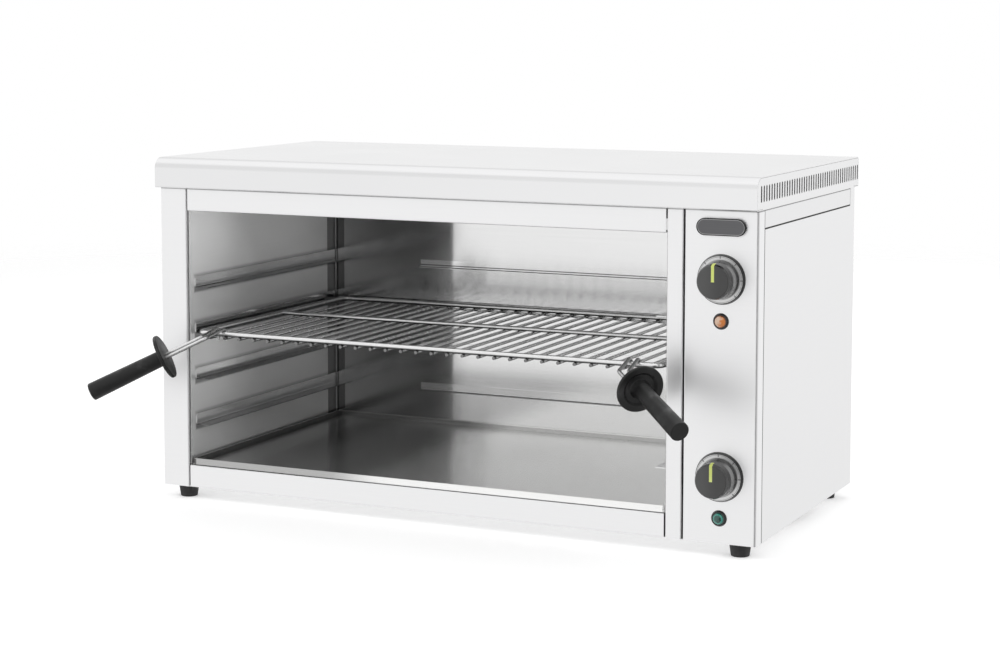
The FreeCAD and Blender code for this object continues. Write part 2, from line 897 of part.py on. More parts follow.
def make_cable_gland():
    outer = cavity_back + sheet
    inner = cavity_back - inlet_nut
    end = outer + inlet_length
    outline = [(inner, inlet_bore / 2), (inner, inlet_nut_width / 2), (cavity_back, inlet_nut_width / 2),
               (cavity_back, inlet_thread / 2), (outer, inlet_thread / 2), (outer, inlet_head / 2),
               (outer + inlet_length / 2, inlet_head / 2), (end, inlet_head / 2 - inlet_length / 4),
               (end, inlet_bore / 2)]
    radii = [0, 0, 0, 0, 0, 0, 0, inlet_tip_round, inlet_mouth_round]
    return turned(outline, radii, Vec(control_x, 0, inlet_z), Vec(0, 1, 0))


def hex_prism(origin, axis, across, height):
    along = Vec(axis).normalize()
    side = Vec(1, 0, 0) if abs(along.x) < 0.9 else Vec(0, 0, 1)
    other = along.cross(side)
    corners = []
    for i in range(6):
        angle = math.radians(60 * i)
        corners.append(origin + (side * math.cos(angle) + other * math.sin(angle)) * (across / math.sqrt(3)))
    return Part.Face(Part.makePolygon(corners + [corners[0]])).extrude(along * height)


def make_earth_stud():
    x = control_x - earth_offset
    outer = cavity_back + sheet
    inner = cavity_back - earth_nut_height
    stud = rod(Vec(x, inner - 2 * sheet, inlet_z), Vec(x, outer + earth_length, inlet_z), earth_diameter / 2)
    nuts = [hex_prism(Vec(x, outer, inlet_z), Vec(0, 1, 0), earth_nut, earth_nut_height),
            hex_prism(Vec(x, inner, inlet_z), Vec(0, 1, 0), earth_nut, earth_nut_height)]
    return joined([stud] + nuts)


# Feet and fasteners

def foot_spots():
    spots = []
    for x in (foot_side_inset, body_width - foot_side_inset):
        for y in (foot_front_inset, body_depth - foot_rear_inset):
            spots.append(Vec(x, y, 0))
    return spots


def make_feet():
    feet = []
    hole = foot_screw / 2
    outline = [(0, hole), (0, foot_top / 2), (foot_height, foot_bottom / 2), (foot_height, foot_recess / 2),
               (foot_height - foot_recess_depth, foot_recess / 2), (foot_height - foot_recess_depth, hole)]
    radii = [0, foot_top_round, foot_tread_round, foot_recess_round, 0, 0]
    for spot in foot_spots():
        feet.append(turned(outline, radii, spot, Vec(0, 0, -1)))
    return Part.makeCompound(feet)


def make_foot_screws():
    screws = []
    seat = foot_recess_depth - foot_height
    for spot in foot_spots():
        top = spot + Vec(0, 0, seat)
        tip = spot + Vec(0, 0, foot_nut_height + 2 * sheet)
        head = rod(top - Vec(0, 0, foot_screw_head_height), top, foot_screw_head / 2)
        shank = rod(top, tip, foot_screw / 2)
        nut = hex_prism(spot + Vec(0, 0, sheet), Vec(0, 0, 1), foot_nut, foot_nut_height)
        screws.append(joined([head, shank, nut]))
    return Part.makeCompound(screws)


def make_casing_screws():
    screws = []
    for spot in casing_screw_spots():
        outline = [(-casing_screw_grip, 0), (-casing_screw_grip, casing_screw / 2), (0, casing_screw / 2),
                   (0, casing_screw_head / 2), (casing_screw_head_height, casing_screw_head / 2),
                   (casing_screw_head_height, 0)]
        screws.append(turned(outline, [0, 0, 0, 0, casing_screw_crown, 0], spot, Vec(0, 1, 0)))
    return Part.makeCompound(screws)


def build():
    parts = {}
    parts["base_plate"] = make_base_plate()
    parts["left_post"] = upright_channel(0, post_width, flange, flange, bend)
    parts["upper_front_rail"] = make_upper_front_rail()
    parts["lower_front_rail"] = make_lower_front_rail()
    parts["mullion"] = upright_channel(mullion_left, mullion_right, flange, flange, bend)
    parts["control_panel"] = make_control_panel()
    parts["right_side_panel"] = make_right_side_panel()
    parts["left_side_panel"] = mirrored(parts["right_side_panel"], body_width / 2)
    parts["right_side_strip"] = make_right_side_strip()
    parts["left_side_strip"] = mirrored(parts["right_side_strip"], body_width / 2)
    parts["back_panel"] = make_back_panel()
    parts["top_cover"] = make_top_cover()
    parts["left_cover_end"] = make_left_cover_end()
    parts["right_cover_end"] = mirrored(parts["left_cover_end"], body_width / 2)
    parts["left_cavity_wall"] = make_left_cavity_wall()
    parts["right_cavity_wall"] = make_right_cavity_wall()
    parts["cavity_floor"] = make_cavity_floor()
    parts["reflector"] = make_reflector()
    parts["left_runners"] = make_left_runners()
    parts["right_runners"] = mirrored(parts["left_runners"], cavity_middle)
    parts["back_ledges"] = make_back_ledges()
    parts["crumb_tray"] = make_crumb_tray()
    parts["rack_frame"] = make_rack_frame()
    parts["rack_wires"] = make_rack_wires(parts["rack_frame"])
    left_bend = Vec(handle_x(-1), -left_reach, rack_z + left_rise)
    right_bend = Vec(handle_x(1), -right_reach, rack_z + right_rise)
    left_heading = heading(left_azimuth, left_elevation)
    right_heading = heading(right_azimuth, right_elevation)
    for side, bend_point, stem, direction in (("left", left_bend, left_stem, left_heading),
                                              ("right", right_bend, right_stem, right_heading)):
        bail = make_bail(bend_point, stem, direction)
        parts[side + "_handle_bail"] = bail
        parts[side + "_handle_grip"] = make_grip(bend_point + direction * stem, direction, bail)
    for i, (front, rear) in enumerate(element_legs()):
        parts["heating_element_" + str(i + 1)] = make_heating_element(front, rear)
    parts["element_brackets"] = make_element_brackets()
    parts["top_insulation"] = make_top_insulation()
    parts["left_insulation"] = make_left_insulation()
    parts["right_insulation"] = make_right_insulation()
    parts["heat_shield"] = make_heat_shield()
    parts["thermostat_body"] = make_control_body(
        upper_control_z, thermostat_width, thermostat_height, thermostat_depth)
    parts["timer_body"] = make_control_body(lower_control_z, timer_width, timer_height, timer_depth)
    parts["thermostat_bulb"] = make_thermostat_bulb()
    for place, z, control in (("upper", upper_control_z, "thermostat"), ("lower", lower_control_z, "timer")):
        shaft = control + "_shaft"
        parts[shaft] = make_shaft(z, shaft_socket)
        parts[place + "_knob_pointer"] = make_pointer(z)
        knob = knob_blank(z, 0).cut([parts[place + "_knob_pointer"], parts[shaft]])
        parts[place + "_knob"] = knob
        parts[place + "_dial"] = make_dial(z)
        parts[place + "_dial_face"] = make_dial_face(z)
    for colour, z in (("orange", upper_control_z), ("green", lower_control_z)):
        parts[colour + "_lamp_body"] = make_lamp_bezel(z - lamp_drop)
        parts[colour + "_lamp_lens"] = make_lamp_lens(z - lamp_drop)
    parts["badge_plate"] = make_badge_plate()
    parts["terminal_block"] = make_terminal_block()
    parts["cable_gland"] = make_cable_gland()
    parts["earth_stud"] = make_earth_stud()
    parts["feet"] = make_feet()
    parts["foot_screws"] = make_foot_screws()
    parts["casing_screws"] = make_casing_screws()
    return parts


parts = build()
whole = Part.makeCompound(list(parts.values())).optimalBoundingBox(False)
home = Vec(-(whole.XMin + whole.XMax) / 2, -(whole.YMin + whole.YMax) / 2, -whole.ZMin)
os.makedirs("parts", exist_ok=True)
for name, shape in parts.items():
    shape.translate(home)
    shape.exportStep("parts/" + name + ".step")

print("overall %.1f x %.1f x %.1f" % (whole.XLength, whole.YLength, whole.ZLength))
print("moved by %.4f %.4f %.4f" % (home.x, home.y, home.z))
print("pieces", len(parts))
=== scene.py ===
import bpy
import bmesh
import math
from mathutils import Matrix, Vector


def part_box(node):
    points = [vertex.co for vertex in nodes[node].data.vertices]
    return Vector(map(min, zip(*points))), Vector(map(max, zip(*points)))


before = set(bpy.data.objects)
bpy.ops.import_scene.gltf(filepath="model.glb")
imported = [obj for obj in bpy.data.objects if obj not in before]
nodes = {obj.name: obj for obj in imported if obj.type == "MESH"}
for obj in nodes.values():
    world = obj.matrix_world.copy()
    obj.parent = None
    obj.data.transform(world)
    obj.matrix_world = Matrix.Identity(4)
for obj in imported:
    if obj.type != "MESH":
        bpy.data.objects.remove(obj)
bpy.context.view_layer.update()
print("grill loaded:", len(nodes), "CAD nodes")


# camera, at the photograph's place

cameraView = {
    "place": (1.1997, -2.4867, 0.6213),
    "turn": 25.0166,  # degrees to the left of straight back
    "tilt": -5.1599,
    "roll": 0.063,
    "lens": 79.392,
    "sensor": 36,
    "shift": -0.12,
    "near": 0.05,
}


def setCamera(values):
    data = bpy.data.cameras.new("frontRightView")
    data.sensor_width = values["sensor"]
    data.lens = values["lens"]
    data.shift_y = values["shift"]
    data.clip_start = values["near"]
    camera = bpy.data.objects.new("frontRightView", data)
    bpy.context.scene.collection.objects.link(camera)
    turn = Matrix.Rotation(math.radians(values["turn"]), 4, "Z")
    tilt = Matrix.Rotation(math.radians(90 + values["tilt"]), 4, "X")
    roll = Matrix.Rotation(math.radians(values["roll"]), 4, "Z")
    camera.matrix_world = Matrix.Translation(values["place"]) @ turn @ tilt @ roll
    bpy.context.scene.camera = camera


setCamera(cameraView)
bpy.context.scene.view_settings.view_transform = "Standard"
print("camera set")


# helpers for node trees; a value is a number, a tuple or another node's output

def feed(tree, socket, value):
    if isinstance(value, bpy.types.NodeSocket):
        tree.links.new(value, socket)
    elif value is not None:
        socket.default_value = (*value, 1) if socket.type == "RGBA" else value


def feedAll(tree, node, values):
    for label, value in values.items():
        feed(tree, node.inputs[label], value)


def mathNode(tree, operation, *values):
    node = tree.nodes.new("ShaderNodeMath")
    node.operation = operation
    feedAll(tree, node, dict(enumerate(values)))
    return node.outputs[0]


def product(tree, first, *others):
    for value in others:
        first = mathNode(tree, "MULTIPLY", first, value)
    return first


# a value taken from one range to another, and held at its ends
def spread(tree, value, fromLow, fromHigh, toLow=0.0, toHigh=1.0, smooth=False):
    node = tree.nodes.new("ShaderNodeMapRange")
    node.interpolation_type = "SMOOTHSTEP" if smooth else "LINEAR"
    feedAll(tree, node, {
        "Value": value, "From Min": fromLow, "From Max": fromHigh, "To Min": toLow, "To Max": toHigh})
    return node.outputs["Result"]


def vectorNode(tree, operation, first, second=None):
    node = tree.nodes.new("ShaderNodeVectorMath")
    node.operation = operation
    feedAll(tree, node, {0: first, 1: second})
    return node.outputs["Value" if operation == "LENGTH" else "Vector"]


def splitVector(tree, vector):
    node = tree.nodes.new("ShaderNodeSeparateXYZ")
    feed(tree, node.inputs[0], vector)
    return node.outputs


def objectPlace(tree):
    return tree.nodes.new("ShaderNodeTexCoord").outputs["Object"]


def noiseNode(tree, vector, scale, detail, roughness=0.5):
    node = tree.nodes.new("ShaderNodeTexNoise")
    feedAll(tree, node, {"Vector": vector, "Scale": scale, "Detail": detail, "Roughness": roughness})
    return node.outputs["Fac"]


# noise that swings as far below zero as above
def swing(tree, noise, reach):
    return product(tree, mathNode(tree, "SUBTRACT", noise, 0.5), reach)


def mixColors(tree, factor, first, second, blend="MIX"):
    node = tree.nodes.new("ShaderNodeMix")
    node.data_type = "RGBA"
    node.blend_type = blend
    feedAll(tree, node, {0: factor, 6: first, 7: second})  # its colour sockets are at 6 and 7
    return node.outputs[2]


# a colour made darker or lighter by one tone
def toneColor(tree, color, tone):
    grey = tree.nodes.new("ShaderNodeCombineColor")
    for socket in grey.inputs[:3]:
        feed(tree, socket, tone)
    return mixColors(tree, 1.0, color, grey.outputs[0], "MULTIPLY")


def mixShaders(tree, factor, first, second):
    node = tree.nodes.new("ShaderNodeMixShader")
    feedAll(tree, node, {0: factor, 1: first, 2: second})
    return node.outputs[0]


def newMaterial(name):
    material = bpy.data.materials.new(name)
    material.use_nodes = True
    tree = material.node_tree
    tree.nodes.clear()
    shader = tree.nodes.new("ShaderNodeBsdfPrincipled")
    output = tree.nodes.new("ShaderNodeOutputMaterial")
    tree.links.new(shader.outputs[0], output.inputs["Surface"])
    return material, tree, shader


# studio: a white room, with a dark gap and a dim strip at the front right

studio = {
    "fill": 0.62,  # world light on matt surfaces
    # degrees round from the front towards the right side, and how light the room is there
    "aroundTones": (
        (-180, 0.92), (-100, 0.95), (-60, 0.96), (-30, 0.96), (-20, 1.0), (0, 1.0), (20, 0.96),
        (37, 0.96), (44, 0.2), (56, 0.2), (70, 0.9), (130, 1.0), (180, 0.92)),
    # sine of the height of view, and how light the room is there
    "heightTones": (
        (-1.0, 0.92), (-0.3, 0.94), (-0.1, 1.02), (0.1, 1.02), (0.2, 0.92), (0.6, 0.92), (0.78, 1.12),
        (1.0, 1.12)),
    # the gap fades in over soft and low, and out over sharp and high; soft and sharp are how far sideways a
    # view goes, low and high how far up, and level is the squared height up to which its sides stand upright
    "gap": {
        "soft": (0.12, 0.29), "sharp": (0.488, 0.4955), "low": (-0.7, -0.5), "high": (0.15, 0.22),
        "level": 0.048, "tone": 0.012},
    "aim": (0, 0, 0.2),
    "lamps": {
        "keyLamp": {"place": (-1.5, -1.9, 2.3), "size": 1.6, "watts": 26},
        "sideLamp": {"place": (2.2, -0.6, 1.8), "size": 1.4, "watts": 14},
        "rearLamp": {"place": (0.2, 2.1, 2.2), "size": 1.6, "watts": 12},
    },
}


def toneRamp(tree, value, tones):
    low, high = tones[0][0], tones[-1][0]
    top = max(tone for place, tone in tones)
    ramp = tree.nodes.new("ShaderNodeValToRGB")
    feed(tree, ramp.inputs["Fac"], spread(tree, value, low, high))
    stops = ramp.color_ramp.elements
    colors = [(tone / top, tone / top, tone / top, 1) for place, tone in tones]
    stops[0].color, stops[1].color = colors[0], colors[-1]
    for (place, tone), color in zip(tones[1:-1], colors[1:-1]):
        stops.new((place - low) / (high - low)).color = color
    split = tree.nodes.new("ShaderNodeSeparateColor")
    feed(tree, split.inputs[0], ramp.outputs["Color"])
    return product(tree, split.outputs[0], top)


# 1 where a view looks into the gap, 0 where it looks past it
def gapMask(tree, view, ahead, gap):
    height = view["Z"]
    level = mathNode(tree, "MINIMUM", product(tree, height, height), gap["level"])
    flat = mathNode(tree, "SQRT", mathNode(tree, "SUBTRACT", 1.0, level))
    sideways = mathNode(tree, "DIVIDE", view["X"], flat)
    return product(
        tree,
        spread(tree, sideways, *gap["soft"], smooth=True),
        spread(tree, sideways, *gap["sharp"], 1.0, 0.0),
        mathNode(tree, "GREATER_THAN", ahead, 0.0),
        spread(tree, height, *gap["low"], smooth=True),
        spread(tree, height, *gap["high"], 1.0, 0.0, smooth=True))


def whiteLight(tree, strength):
    node = tree.nodes.new("ShaderNodeBackground")
    feedAll(tree, node, {"Color": (1, 1, 1), "Strength": strength})
    return node.outputs[0]


def makeRoom(values):
    world = bpy.data.worlds.new("whiteRoom")
    bpy.context.scene.world = world
    world.use_nodes = True
    tree = world.node_tree
    tree.nodes.clear()
    view = splitVector(tree, tree.nodes.new("ShaderNodeTexCoord").outputs["Generated"])
    ahead = product(tree, view["Y"], -1.0)
    around = mathNode(tree, "DEGREES", mathNode(tree, "ARCTAN2", view["X"], ahead))
    aroundTone = toneRamp(tree, around, values["aroundTones"])
    room = product(tree, aroundTone, toneRamp(tree, view["Z"], values["heightTones"]))
    gap = gapMask(tree, view, ahead, values["gap"])
    seen = spread(tree, gap, 0.0, 1.0, room, values["gap"]["tone"])
    path = tree.nodes.new("ShaderNodeLightPath")
    shine = mathNode(tree, "MAXIMUM", path.outputs["Is Glossy Ray"], path.outputs["Is Transmission Ray"])
    light = mixShaders(tree, shine, whiteLight(tree, values["fill"]), whiteLight(tree, seen))
    light = mixShaders(tree, path.outputs["Is Camera Ray"], light, whiteLight(tree, 1.0))
    output = tree.nodes.new("ShaderNodeOutputWorld")
    feed(tree, output.inputs["Surface"], light)


def makeLamps(lamps, aim):
    for name, values in lamps.items():
        data = bpy.data.lights.new(name, "AREA")
        data.shape = "DISK"
        data.size = values["size"]
        data.energy = values["watts"]
        lamp = bpy.data.objects.new(name, data)
        bpy.context.scene.collection.objects.link(lamp)
        lamp.location = values["place"]
        lamp.rotation_euler = (Vector(aim) - lamp.location).to_track_quat("-Z", "Y").to_euler()
        lamp.visible_glossy = False


makeRoom(studio)
makeLamps(studio["lamps"], studio["aim"])
print("room and lamps ready")


# floor: pale, and clear towards its rim

floor = {
    "radius": 3.6,
    "segments": 96,
    "fade": (2.2, 3.4),  # distances from its middle
    "color": (0.93, 0.93, 0.93),
    "rough": 0.9,
    "lift": 0.30,  # glow that only the camera sees
}


def floorFinish(values):
    material, tree, shader = newMaterial("paleFloor")
    surface = shader.outputs[0].links[0].to_socket
    path = tree.nodes.new("ShaderNodeLightPath")
    feedAll(tree, shader, {
        "Base Color": values["color"], "Roughness": values["rough"], "Specular IOR Level": 0.0,
        "Emission Color": (1, 1, 1),
        "Emission Strength": product(tree, path.outputs["Is Camera Ray"], values["lift"])})
    away = spread(tree, vectorNode(tree, "LENGTH", objectPlace(tree)), *values["fade"], smooth=True)
    seen = mathNode(tree, "MAXIMUM", away, path.outputs["Is Glossy Ray"])  # metal sees the white room below
    clear = tree.nodes.new("ShaderNodeBsdfTransparent")
    feed(tree, surface, mixShaders(tree, seen, shader.outputs[0], clear.outputs[0]))
    return material


def makeFloor(values):
    shape = bmesh.new()
    bmesh.ops.create_circle(shape, cap_ends=True, segments=values["segments"], radius=values["radius"])
    mesh = bpy.data.meshes.new("studioFloor")
    shape.to_mesh(mesh)
    shape.free()
    piece = bpy.data.objects.new("studioFloor", mesh)
    bpy.context.scene.collection.objects.link(piece)
    piece.data.materials.append(floorFinish(values))


makeFloor(floor)
print("floor ready")


# effects that several finishes share

numberSocket, vectorSocket, colorSocket = "NodeSocketFloat", "NodeSocketVector", "NodeSocketColor"
surfaceOutputs = [("Color", colorSocket), ("Roughness", numberSocket), ("Height", numberSocket)]


def newGroup(name, inputs, outputs):
    tree = bpy.data.node_groups.new(name, "ShaderNodeTree")
    for label, kind, value in inputs:
        socket = tree.interface.new_socket(label, in_out="INPUT", socket_type=kind)
        socket.default_value = value
    for label, kind in outputs:
        tree.interface.new_socket(label, in_out="OUTPUT", socket_type=kind)
    given = tree.nodes.new("NodeGroupInput").outputs
    made = tree.nodes.new("NodeGroupOutput").inputs
    return tree, given, made


# rolled and ground sheet: fine streaks, and broad faint clouds
sheetNoise = {"streakDetail": 3.0, "cloudScale": 9.0, "cloudDetail": 2.0, "worn": (0.3, 0.7)}


def makeSheetGrain(values):
    tree, given, made = newGroup(
        "sheetGrain",
        [("Vector", vectorSocket, (0, 0, 0)), ("Stretch", vectorSocket, (40, 40, 1400)),
         ("Tint", colorSocket, (0.8, 0.8, 0.8, 1)), ("Streaks", numberSocket, 0.03),
         ("Clouds", numberSocket, 0.03), ("Smooth", numberSocket, 0.1), ("Rough", numberSocket, 0.2)],
        surfaceOutputs)
    stretched = vectorNode(tree, "MULTIPLY", given["Vector"], given["Stretch"])
    streaks = noiseNode(tree, stretched, 1.0, values["streakDetail"])
    clouds = noiseNode(tree, given["Vector"], values["cloudScale"], values["cloudDetail"])
    both = mathNode(
        tree, "ADD", swing(tree, streaks, given["Streaks"]), swing(tree, clouds, given["Clouds"]))
    worn = mathNode(tree, "ADD", product(tree, streaks, 0.5), product(tree, clouds, 0.5))
    feed(tree, made["Color"], toneColor(tree, given["Tint"], mathNode(tree, "ADD", both, 1.0)))
    feed(tree, made["Roughness"], spread(tree, worn, *values["worn"], given["Smooth"], given["Rough"]))
    feed(tree, made["Height"], streaks)
    return tree


# moulded skin: fine pimples, with faint rubbed patches
skinNoise = {
    "pimpleDetail": 1.0, "patchScale": 38.0, "patchDetail": 3.0, "rubbed": (0.48, 0.72), "worn": (0.3, 0.7)}


def makeMouldedSkin(values):
    tree, given, made = newGroup(
        "mouldedSkin",
        [("Vector", vectorSocket, (0, 0, 0)), ("Grain", numberSocket, 1500.0),
         ("Tint", colorSocket, (0.02, 0.02, 0.02, 1)), ("Rubbed", colorSocket, (0.04, 0.04, 0.04, 1)),
         ("Smooth", numberSocket, 0.3), ("Rough", numberSocket, 0.5)],
        surfaceOutputs)
    pimples = noiseNode(tree, given["Vector"], given["Grain"], values["pimpleDetail"])
    patches = noiseNode(tree, given["Vector"], values["patchScale"], values["patchDetail"])
    rubbed = spread(tree, patches, *values["rubbed"], smooth=True)
    feed(tree, made["Color"], mixColors(tree, rubbed, given["Tint"], given["Rubbed"]))
    feed(tree, made["Roughness"], spread(tree, patches, *values["worn"], given["Rough"], given["Smooth"]))
    feed(tree, made["Height"], pimples)
    return tree


# a darker or lighter place painted on a piece, used here for painted shade and painted dark reflections:
# everything inside a box, with a soft edge
def makeBoxShade():
    tree, given, made = newGroup(
        "boxShade",
        [("Vector", vectorSocket, (0, 0, 0)), ("Color", colorSocket, (1, 1, 1, 1)),
         ("Middle", vectorSocket, (0, 0, 0)), ("Half", vectorSocket, (1, 1, 1)),
         ("Edge", vectorSocket, (0.001, 0.001, 0.001)), ("Tone", numberSocket, 1.0)],
        [("Color", colorSocket)])
    away = vectorNode(tree, "ABSOLUTE", vectorNode(tree, "SUBTRACT", given["Vector"], given["Middle"]))
    beyond = vectorNode(tree, "DIVIDE", vectorNode(tree, "SUBTRACT", away, given["Half"]), given["Edge"])
    parts = splitVector(tree, beyond)
    far = mathNode(tree, "MAXIMUM", mathNode(tree, "MAXIMUM", parts["X"], parts["Y"]), parts["Z"])
    tone = spread(tree, far, 0.0, 1.0, given["Tone"], 1.0, smooth=True)
    feed(tree, made["Color"], toneColor(tree, given["Color"], tone))
    return tree


# painted shade and light on rods, angles and grips, by which way a surface faces: a tone for what faces down,
# a tone for what faces up, and the full colour between; the tone below fades out and the tone above fades in
# over these parts of how far up a surface faces
paintedUpDownEnds = {"below": (-0.45, 0.05), "above": (0.7, 0.95)}


def makePaintedUpDownShade(values):
    tree, given, made = newGroup(
        "paintedUpDownShade",
        [("Normal", vectorSocket, (0, 0, 1)), ("Color", colorSocket, (1, 1, 1, 1)),
         ("Below", numberSocket, 0.2), ("Above", numberSocket, 1.0)],
        [("Color", colorSocket)])
    up = splitVector(tree, given["Normal"])["Z"]
    under = spread(tree, up, *values["below"], given["Below"], 1.0, smooth=True)
    over = spread(tree, up, *values["above"], 1.0, given["Above"], smooth=True)
    feed(tree, made["Color"], toneColor(tree, given["Color"], product(tree, under, over)))
    return tree


sheetGrain = makeSheetGrain(sheetNoise)
mouldedSkin = makeMouldedSkin(skinNoise)
boxShade = makeBoxShade()
paintedUpDownShade = makePaintedUpDownShade(paintedUpDownEnds)


def useGroup(tree, group, values):
    node = tree.nodes.new("ShaderNodeGroup")
    node.node_tree = group
    feedAll(tree, node, values)
    return node


def shadePlaces(tree, color, places):
    for place in places:
        node = useGroup(tree, boxShade, {"Vector": objectPlace(tree), "Color": color, **place})
        color = node.outputs["Color"]
    return color


def paintUpDownShade(tree, color, tones):
    if not tones:
        return color
    below, above = tones
    normal = tree.nodes.new("ShaderNodeNewGeometry").outputs["Normal"]
    node = useGroup(tree, paintedUpDownShade, {"Normal": normal, "Color": color, "Below": below, "Above": above})
    return node.outputs["Color"]


def addBump(tree, shader, height, depth, strength):
    bump = tree.nodes.new("ShaderNodeBump")
    feedAll(tree, bump, {"Strength": strength, "Distance": depth, "Height": height})
    feed(tree, shader.inputs["Normal"], bump.outputs["Normal"])


# drawn grain smears a reflection across itself, a quarter turn round from its tangent
def addDrawnGrain(tree, shader, strength, axis, turn=0.25):
    along = tree.nodes.new("ShaderNodeTangent")
    along.direction_type = "RADIAL"
    along.axis = axis
    feedAll(tree, shader, {
        "Anisotropic": strength, "Anisotropic Rotation": turn, "Tangent": along.outputs["Tangent"]})


# stainless steel; places are where shade is painted on it, and the up-down tones paint shade and light below
# and above
def steelFinish(name, tint, stretch, streaks, clouds, smooth, rough, bump=0.0, depth=0.00002, drawn=0.0,
                axis="Z", places=(), paintedUpDown=None, metal=1.0):
    material, tree, shader = newMaterial(name)
    grain = useGroup(tree, sheetGrain, {
        "Vector": objectPlace(tree), "Stretch": stretch, "Tint": tint, "Streaks": streaks,
        "Clouds": clouds, "Smooth": smooth, "Rough": rough})
    color = paintUpDownShade(tree, shadePlaces(tree, grain.outputs["Color"], places), paintedUpDown)
    feedAll(tree, shader, {
        "Metallic": metal, "Base Color": color, "Roughness": grain.outputs["Roughness"]})
    if drawn:
        addDrawnGrain(tree, shader, drawn, axis)
    if bump:
        addBump(tree, shader, grain.outputs["Height"], depth, bump)
    return material


def plasticFinish(name, tint, rubbed, smooth, rough, grain=1500.0, bump=0.15, depth=0.00005, paintedUpDown=None,
                  gloss=0.5):
    material, tree, shader = newMaterial(name)
    skin = useGroup(tree, mouldedSkin, {
        "Vector": objectPlace(tree), "Tint": tint, "Rubbed": rubbed, "Smooth": smooth, "Rough": rough,
        "Grain": grain})
    color = paintUpDownShade(tree, skin.outputs["Color"], paintedUpDown)
    feedAll(tree, shader, {
        "Base Color": color, "Roughness": skin.outputs["Roughness"], "Specular IOR Level": gloss})
    addBump(tree, shader, skin.outputs["Height"], depth, bump)
    return material


def dress(material, *names):
    for name in names:
        piece = nodes[name]
        if not piece.material_slots:
            piece.data.materials.append(material)
        for slot in piece.material_slots:
            slot.material = material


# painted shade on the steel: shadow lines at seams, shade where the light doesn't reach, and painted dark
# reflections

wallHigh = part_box("left_cavity_wall")[1]
panelLow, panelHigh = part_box("control_panel")
stripLow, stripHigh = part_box("right_side_strip")
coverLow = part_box("top_cover")[0]
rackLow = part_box("rack_wires")[0]
trayLow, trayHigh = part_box("crumb_tray")
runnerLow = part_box("left_runners")[0]
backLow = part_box("back_ledges")[0]
runner = {"levels": 4, "pitch": 0.0591, "sheet": 0.001, "leg": 0.0145}
ledges = [runnerLow.z + runner["pitch"] * level for level in range(runner["levels"])]
backLedges = [backLow.z + runner["pitch"] * level for level in range(runner["levels"])]
openSide = 9.0  # metres, well past the grill


# a place painted darker; a side that isn't given is open; edge is how wide the soft edge is, one number or
# one each way
def dimPlace(tone, edge, left=-openSide, right=openSide, front=-openSide, back=openSide,
             bottom=-openSide, top=openSide):
    sides = ((left, right), (front, back), (bottom, top))
    return {
        "Middle": tuple((low + high) / 2 for low, high in sides),
        "Half": tuple((high - low) / 2 for low, high in sides),
        "Edge": edge if isinstance(edge, tuple) else (edge, edge, edge),
        "Tone": tone}


# a painted shadow line along the edge of a ledge
def dimLedge(bottom, tone):
    return dimPlace(tone=tone, edge=0.0003, bottom=bottom - 0.0002, top=bottom + runner["sheet"])


shadows = {
    # painted shade under the cover, in the gap left of the control panel, on its right bend, and at the end
    # of its return
    "front": [
        dimPlace(tone=0.35, edge=0.0016, bottom=coverLow.z - 0.001),
        dimPlace(tone=0.55, edge=0.0003, left=panelLow.x - 0.0018, right=panelLow.x + 0.0002,
                 front=panelLow.y + 0.0004),
        dimPlace(tone=0.78, edge=0.0006, left=panelHigh.x - 0.0019, right=panelHigh.x - 0.0004,
                 back=panelLow.y + 0.002),
        dimPlace(tone=0.15, edge=0.0002, left=panelHigh.x - 0.004, front=panelHigh.y - 0.0004)],
    # painted shade in the seams at the front edge and under the strip
    "side": [
        dimPlace(tone=0.12, edge=0.0002, back=panelHigh.y + 0.0014, top=coverLow.z - 0.0004),
        dimPlace(tone=0.12, edge=0.0003, back=stripHigh.y, bottom=stripLow.z - 0.0014, top=stripLow.z)],
    # painted shade along its lower edge, and under the cover
    "strip": [
        dimPlace(tone=0.12, edge=0.0003, top=stripLow.z + 0.0003),
        dimPlace(tone=0.35, edge=0.001, bottom=coverLow.z - 0.001)],
    # on the front of the back panel: a painted shadow line beside the left wall, and the dark left part, a
    # painted dark reflection with painted corner shade
    "lining": [
        dimPlace(tone=0.08, edge=(0.0004, 0.0001, 0.0004), left=wallHigh.x + 0.0022,
                 right=wallHigh.x + 0.0034, front=wallHigh.y - 0.0004, back=wallHigh.y + 0.0004),
        dimPlace(tone=0.42, edge=(0.08, 0.0001, 0.08), right=wallHigh.x + 0.14,
                 front=wallHigh.y - 0.0004, back=wallHigh.y + 0.0004)],
    # on the left wall: the dark strip at its rear end, a painted dark reflection, and painted shade below the
    # rack
    "sideLining": [
        dimPlace(tone=0.3, edge=0.0006, right=0.0, front=wallHigh.y - 0.0245, back=wallHigh.y - 0.0012),
        dimPlace(tone=0.8, edge=0.01, right=0.0, top=rackLow.z)],
    # painted shade in the left rim and the rear rim, and a painted dark reflection on the left part of the
    # floor
    "tray": [
        dimPlace(tone=0.3, edge=0.0006, right=trayLow.x + 0.004, top=trayHigh.z - 0.001),
        dimPlace(tone=0.62, edge=0.0006, front=trayHigh.y - 0.0016, top=trayHigh.z - 0.0016),
        dimPlace(tone=0.5, edge=0.09, right=trayLow.x + 0.19, top=trayHigh.z - 0.001)],
    # painted shadow lines along the ledges of the runners and the back ledges
    "angle": [dimLedge(ledge, 0.2) for ledge in ledges],
    "backLedge": [dimLedge(ledge, 0.3) for ledge in backLedges],
    "rackWire": [dimPlace(tone=0.25, edge=0.001, back=rackLow.y + 0.004)],  # painted shade on the front ends
}
for ledge in ledges:  # painted shade on the left wall, above and below each runner
    legTop = ledge + runner["leg"]
    shadows["sideLining"] += [
        dimPlace(tone=0.62, edge=0.005, right=0.0, front=runnerLow.y, bottom=legTop, top=legTop + 0.0006),
        dimPlace(tone=0.35, edge=0.004, right=0.0, front=runnerLow.y, bottom=ledge - 0.004, top=ledge)]
